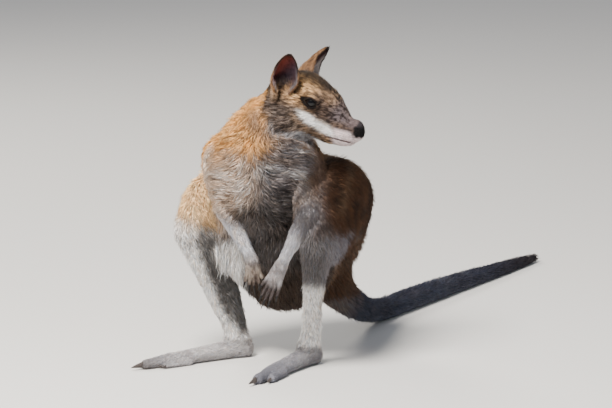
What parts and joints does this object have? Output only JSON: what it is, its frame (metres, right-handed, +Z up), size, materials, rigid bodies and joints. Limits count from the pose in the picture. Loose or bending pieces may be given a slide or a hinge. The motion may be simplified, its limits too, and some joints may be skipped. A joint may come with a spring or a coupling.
{
  "type": "wallaby",
  "caption": "Life-size still model of a wallaby standing on its hind feet and tail, forepaws held low in front of the belly and head turned to its left.",
  "frame": {"origin": "on the floor, under the middle of the whole model's bounding box", "axes": "+Z up, -Y the way the trunk faces, +Y along the tail, +X the animal's left"},
  "size_m": [0.319, 1.0964, 0.5021],
  "materials": {
    "coat_brown": "golden brown fur",
    "coat_grey": "grey and brown fur",
    "coat_white": "short whitish grey fur",
    "coat_tail": "short grey fur",
    "ear_skin": "thin furred ear",
    "eye": "wet glossy dark eye",
    "claw": "dark horn"
  },
  "bodies": {
    "root": {"head": "coat_brown", "neck": "coat_brown", "trunk": "coat_grey", "tail_base": "coat_tail", "tail_middle": "coat_tail", "tail_tip": "coat_tail", "ear_right": "ear_skin", "eye_right": "eye", "upper_arm_right": "coat_grey", "forearm_right": "coat_white", "hand_right": "coat_white", "thigh_right": "coat_brown", "shank_right": "coat_white", "foot_right": "coat_white", "claw_hand_right_1": "claw", "claw_hand_right_2": "claw", "claw_hand_right_3": "claw", "claw_hand_right_4": "claw", "claw_hand_right_5": "claw", "claw_foot_right_fourth": "claw", "claw_foot_right_fifth": "claw", "claw_foot_right_third": "claw", "claw_foot_right_second": "claw", "ear_left": "ear_skin", "eye_left": "eye", "upper_arm_left": "coat_grey", "forearm_left": "coat_white", "hand_left": "coat_white", "thigh_left": "coat_brown", "shank_left": "coat_white", "foot_left": "coat_white", "claw_hand_left_1": "claw", "claw_hand_left_2": "claw", "claw_hand_left_3": "claw", "claw_hand_left_4": "claw", "claw_hand_left_5": "claw", "claw_foot_left_fourth": "claw", "claw_foot_left_fifth": "claw", "claw_foot_left_third": "claw", "claw_foot_left_second": "claw"}
  },
  "joints": []
}
